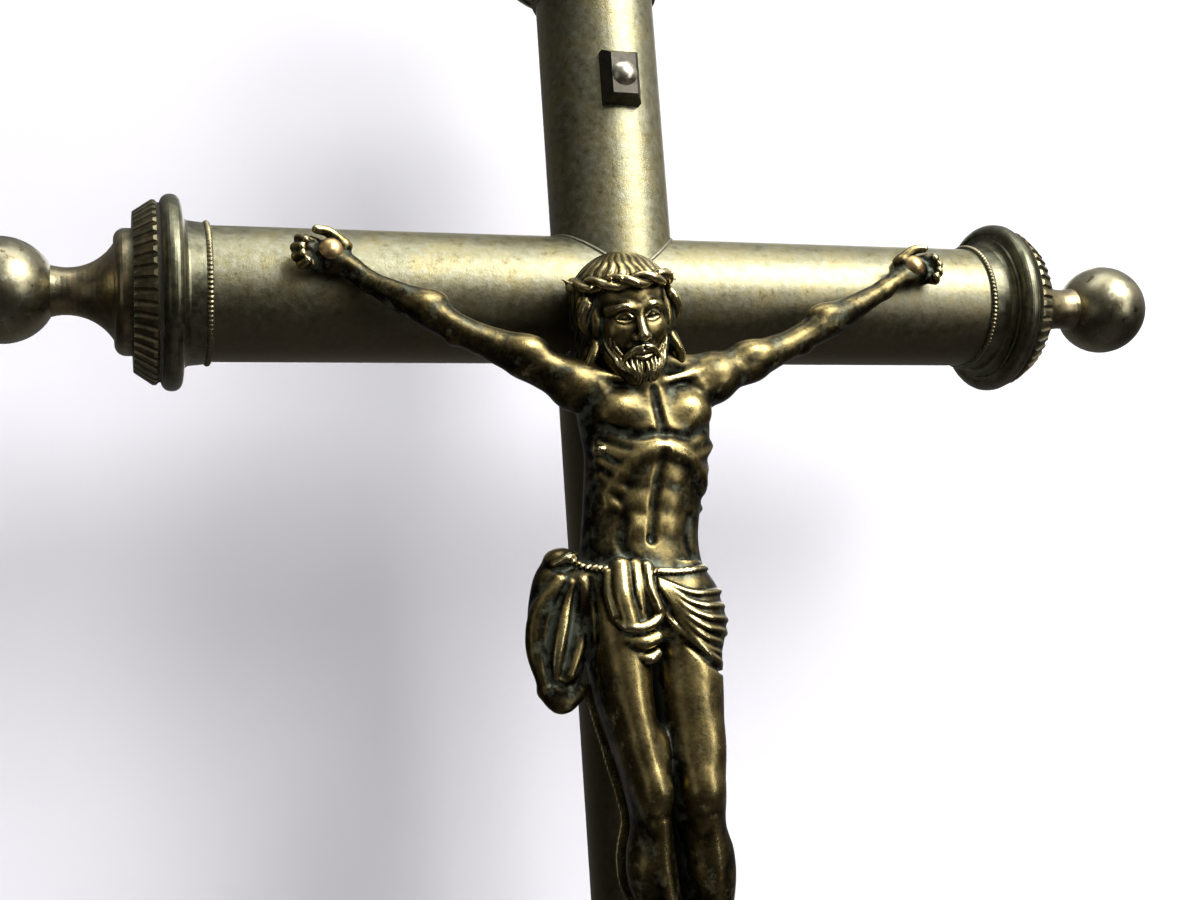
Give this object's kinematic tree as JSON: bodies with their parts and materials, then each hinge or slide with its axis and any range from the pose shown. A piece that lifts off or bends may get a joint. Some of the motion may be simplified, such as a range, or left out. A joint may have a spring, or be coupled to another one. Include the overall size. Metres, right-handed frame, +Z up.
{
  "type": "processional cross",
  "caption": "Processional cross head: flanged brass tubes with screw-on milled caps and ball finials, a cast corpus riveted to the front, and a clamped socket for a round staff.",
  "frame": {"origin": "centre of the staff socket's mouth, where the staff goes in", "axes": "+Z up along the post, the front with the figure faces -Y, +X to the right as seen from the front"},
  "size_m": [0.1978, 0.0572, 0.3071],
  "materials": {
    "tube": "aged, mottled, worn smooth",
    "fitting": "aged, turned and milled",
    "ball": "aged, dull",
    "figure": "dark cast bronze, rubbed on the high parts",
    "rivet": "bright, hammered",
    "inner": "turned, unpolished",
    "washer": "oiled"
  },
  "bodies": {
    "root": {"crossbar_tube": "tube", "upper_post_tube": "tube", "lower_post_tube": "tube", "left_end_collar": "fitting", "right_end_collar": "fitting", "top_end_collar": "fitting", "bottom_end_collar": "fitting", "bottom_milled_ring": "fitting", "knop": "fitting", "staff_socket": "fitting", "socket_mouth_ring": "fitting", "clamp_boss": "fitting", "title_block": "fitting", "corpus_body": "figure", "corpus_left_arm": "figure", "corpus_right_arm": "figure", "hand_rivets": "rivet", "foot_rivet": "rivet", "title_rivet": "rivet", "left_end_plug": "inner", "right_end_plug": "inner", "top_end_plug": "inner", "bottom_end_plug": "inner", "knop_nipple": "inner", "nipple_nut": "inner"},
    "clamp_pad": {"clamp_pad": "inner"},
    "clamp_screw": {"clamp_screw": "fitting"},
    "left_washer": {"left_washer": "washer"},
    "left_cap": {"left_cap": "fitting", "left_ball": "ball"},
    "right_washer": {"right_washer": "washer"},
    "right_cap": {"right_cap": "fitting", "right_ball": "ball"},
    "top_washer": {"top_washer": "washer"},
    "top_cap": {"top_cap": "fitting", "top_ball": "ball"}
  },
  "joints": [
    {"name": "left_cap_back_off", "type": "slide", "parent": "root", "child": "left_washer", "axis": [-1, 0, 0], "range_m": [0, 0.005]},
    {"name": "left_cap_turn", "type": "hinge", "parent": "left_washer", "child": "left_cap", "pos_m": [-0.0668, 0, 0.2204], "axis": [-1, 0, 0], "range_deg": [0, 1800]},
    {"name": "right_cap_back_off", "type": "slide", "parent": "root", "child": "right_washer", "axis": [1, 0, 0], "range_m": [0, 0.005]},
    {"name": "right_cap_turn", "type": "hinge", "parent": "right_washer", "child": "right_cap", "pos_m": [0.0668, 0, 0.2204], "axis": [1, 0, 0], "range_deg": [0, 1800]},
    {"name": "top_cap_back_off", "type": "slide", "parent": "root", "child": "top_washer", "axis": [0, 0, 1], "range_m": [0, 0.005]},
    {"name": "top_cap_turn", "type": "hinge", "parent": "top_washer", "child": "top_cap", "pos_m": [0, 0, 0.275], "axis": [0, 0, 1], "range_deg": [0, 1800]},
    {"name": "clamp_feed", "type": "slide", "parent": "root", "child": "clamp_pad", "axis": [0, -1, 0], "range_m": [0, 0.004]},
    {"name": "clamp_turn", "type": "hinge", "parent": "clamp_pad", "child": "clamp_screw", "pos_m": [0, 0.015, 0.027], "axis": [0, -1, 0], "range_deg": [0, 1800]}
  ],
  "couplings": [
    {"joint": "left_cap_turn", "follows": "left_cap_back_off", "rad_per_m": 6283.1},
    {"joint": "right_cap_turn", "follows": "right_cap_back_off", "rad_per_m": 6283.1},
    {"joint": "top_cap_turn", "follows": "top_cap_back_off", "rad_per_m": 6283.1},
    {"joint": "clamp_turn", "follows": "clamp_feed", "rad_per_m": 7853.9}
  ]
}
